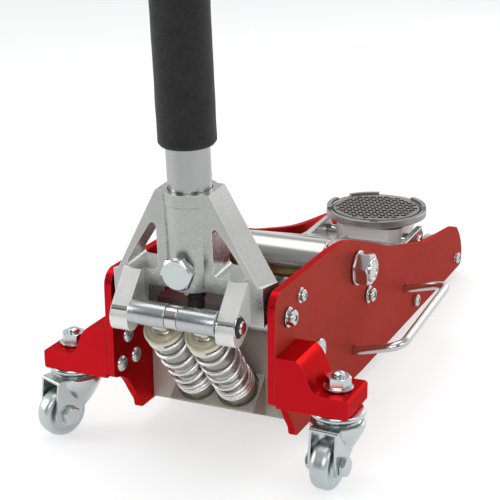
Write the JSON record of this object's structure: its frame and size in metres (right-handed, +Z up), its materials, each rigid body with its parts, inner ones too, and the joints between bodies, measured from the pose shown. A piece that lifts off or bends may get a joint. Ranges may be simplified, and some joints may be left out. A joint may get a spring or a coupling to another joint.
{
  "type": "hydraulic floor jack",
  "caption": "Low aluminium floor jack: red side plates, round rubber saddle on a lift arm, sprung pump plungers, grey handle yoke, foam-sleeved handle, swivel casters.",
  "frame": {"origin": "on the floor, under the middle of the bounding box", "axes": "+Z up, +Y forward from the handle end to the saddle end, +X to the right seen from the handle"},
  "size_m": [0.2617, 0.581, 1.1261],
  "materials": {
    "red_aluminium": "satin red anodised, bright bevelled edges",
    "cast_aluminium": "satin machined casting",
    "pump_casting": "sand-cast, warm grey",
    "polished_steel": "polished",
    "zinc_steel": "bright zinc plate",
    "yellow_zinc": "yellow plated, satin",
    "black_foam": "matt closed-cell foam",
    "black_rubber": "matt"
  },
  "bodies": {
    "frame": {"side_plate_right": "red_aluminium", "side_plate_left": "red_aluminium", "caster_bracket_right": "red_aluminium", "caster_bracket_left": "red_aluminium", "caster_stem_right": "zinc_steel", "caster_stem_left": "zinc_steel", "caster_nut_right": "zinc_steel", "caster_nut_left": "zinc_steel", "pump_block": "pump_casting", "cylinder_tube": "polished_steel", "lift_pivot_bolt": "zinc_steel", "lift_pivot_nut": "zinc_steel", "tie_rod_bolt_right": "zinc_steel", "tie_rod_bolt_left": "zinc_steel", "frame_crossbar": "zinc_steel", "front_axle": "polished_steel", "carry_handle": "polished_steel", "yoke_pivot_screw_right": "zinc_steel", "yoke_pivot_screw_left": "zinc_steel", "pump_spring_right": "zinc_steel", "pump_spring_left": "zinc_steel"},
    "yoke": {"handle_yoke": "cast_aluminium", "roller_pin": "polished_steel", "clamp_bolt": "zinc_steel", "clamp_locknut": "zinc_steel"},
    "roller_right": {"pump_roller_right": "polished_steel"},
    "roller_left": {"pump_roller_left": "polished_steel"},
    "handle": {"handle_tube_lower": "polished_steel", "handle_tube_upper": "polished_steel", "foam_sleeve": "black_foam", "handle_grip": "black_rubber"},
    "snap_button": {"snap_button": "zinc_steel"},
    "release_valve": {"release_valve": "polished_steel"},
    "pump_right": {"piston_right": "polished_steel", "piston_cap_right": "yellow_zinc"},
    "pump_left": {"piston_left": "polished_steel", "piston_cap_left": "yellow_zinc"},
    "lift_arm": {"lift_arm_right": "cast_aluminium", "lift_arm_left": "cast_aluminium", "lift_arm_hub": "yellow_zinc", "lift_arm_hood": "polished_steel", "saddle_pin": "polished_steel"},
    "ram": {"ram_rod": "polished_steel", "ram_crosshead": "polished_steel", "drag_link_right": "polished_steel", "drag_link_left": "polished_steel"},
    "tie_rods": {"tie_rod_right": "polished_steel", "tie_rod_left": "polished_steel"},
    "saddle_bracket": {"saddle_bracket": "cast_aluminium", "tie_rod_pin": "polished_steel"},
    "saddle": {"saddle_ring": "cast_aluminium", "saddle_pad": "black_rubber"},
    "front_wheel_right": {"front_wheel_right": "zinc_steel"},
    "front_wheel_left": {"front_wheel_left": "zinc_steel"},
    "caster_right": {"caster_fork_right": "zinc_steel", "caster_axle_right": "zinc_steel"},
    "caster_left": {"caster_fork_left": "zinc_steel", "caster_axle_left": "zinc_steel"},
    "caster_wheel_right": {"caster_wheel_right": "zinc_steel"},
    "caster_wheel_left": {"caster_wheel_left": "zinc_steel"}
  },
  "joints": [
    {"name": "yoke_swing", "type": "hinge", "parent": "frame", "child": "yoke", "pos_m": [0, -0.1925, 0.1185], "axis": [1, 0, 0], "range_deg": [0, 45], "stiffness_Nm_per_rad": 12, "springref_deg": -34.38},
    {"name": "roller_right_spin", "type": "hinge", "parent": "yoke", "child": "roller_right", "pos_m": [0.0195, -0.2362, 0.1234], "axis": [1, 0, 0], "continuous": true},
    {"name": "roller_left_spin", "type": "hinge", "parent": "yoke", "child": "roller_left", "pos_m": [-0.0195, -0.2362, 0.1234], "axis": [1, 0, 0], "continuous": true},
    {"name": "handle_twist", "type": "hinge", "parent": "yoke", "child": "handle", "pos_m": [0, -0.20078, 0.11788], "axis": [0, -0.075, 0.9972], "range_deg": [0, 180]},
    {"name": "snap_button_press", "type": "slide", "parent": "handle", "child": "snap_button", "axis": [0, 0.9972, 0.075], "range_m": [0, 0.003], "stiffness_N_per_m": 300, "springref_m": -0.001},
    {"name": "release_valve_turn", "type": "hinge", "parent": "frame", "child": "release_valve", "pos_m": [0, -0.1555, 0.084], "axis": [0, -1, 0], "range_deg": [0, 180]},
    {"name": "pump_right_stroke", "type": "slide", "parent": "frame", "child": "pump_right", "axis": [0, 0.6544, -0.7561], "range_m": [0, 0.0304], "deforming": ["pump_spring_right"]},
    {"name": "pump_left_stroke", "type": "slide", "parent": "frame", "child": "pump_left", "axis": [0, 0.6544, -0.7561], "range_m": [0, 0.0304], "deforming": ["pump_spring_left"]},
    {"name": "lift_arm_raise", "type": "hinge", "parent": "frame", "child": "lift_arm", "pos_m": [0, -0.0444, 0.1091], "axis": [1, 0, 0], "range_deg": [0, 66]},
    {"name": "ram_stroke", "type": "slide", "parent": "frame", "child": "ram", "axis": [0, 1, 0], "range_m": [0, 0.0535]},
    {"name": "tie_rod_swing", "type": "hinge", "parent": "frame", "child": "tie_rods", "pos_m": [0, -0.0148, 0.0762], "axis": [1, 0, 0], "range_deg": [0, 66]},
    {"name": "saddle_bracket_level", "type": "hinge", "parent": "lift_arm", "child": "saddle_bracket", "pos_m": [0, 0.193, 0.0595], "axis": [1, 0, 0], "range_deg": [-66, 0]},
    {"name": "saddle_turn", "type": "hinge", "parent": "saddle_bracket", "child": "saddle", "pos_m": [0, 0.209, 0.084], "axis": [0, 0, 1], "continuous": true},
    {"name": "front_wheel_right_spin", "type": "hinge", "parent": "frame", "child": "front_wheel_right", "pos_m": [0.046, 0.267, 0.0215], "axis": [1, 0, 0], "continuous": true},
    {"name": "front_wheel_left_spin", "type": "hinge", "parent": "frame", "child": "front_wheel_left", "pos_m": [-0.046, 0.267, 0.0215], "axis": [1, 0, 0], "continuous": true},
    {"name": "caster_right_swivel", "type": "hinge", "parent": "frame", "child": "caster_right", "pos_m": [0.1089, -0.196, 0.0497], "axis": [0, 0, 1], "continuous": true},
    {"name": "caster_left_swivel", "type": "hinge", "parent": "frame", "child": "caster_left", "pos_m": [-0.1089, -0.196, 0.0497], "axis": [0, 0, 1], "continuous": true},
    {"name": "caster_wheel_right_spin", "type": "hinge", "parent": "caster_right", "child": "caster_wheel_right", "pos_m": [0.10759, -0.21094, 0.019], "axis": [0.9962, -0.0872, 0], "continuous": true},
    {"name": "caster_wheel_left_spin", "type": "hinge", "parent": "caster_left", "child": "caster_wheel_left", "pos_m": [-0.115, -0.2097, 0.019], "axis": [0.9135, -0.4067, 0], "continuous": true}
  ],
  "couplings": [
    {"joint": "pump_right_stroke", "follows": "yoke_swing", "m_per_rad": 0.0386},
    {"joint": "pump_left_stroke", "follows": "yoke_swing", "m_per_rad": 0.0386},
    {"joint": "release_valve_turn", "follows": "handle_twist", "ratio": 1},
    {"joint": "ram_stroke", "follows": "lift_arm_raise", "m_per_rad": 0.04634},
    {"joint": "tie_rod_swing", "follows": "lift_arm_raise", "ratio": 1},
    {"joint": "saddle_bracket_level", "follows": "lift_arm_raise", "ratio": -1}
  ]
}
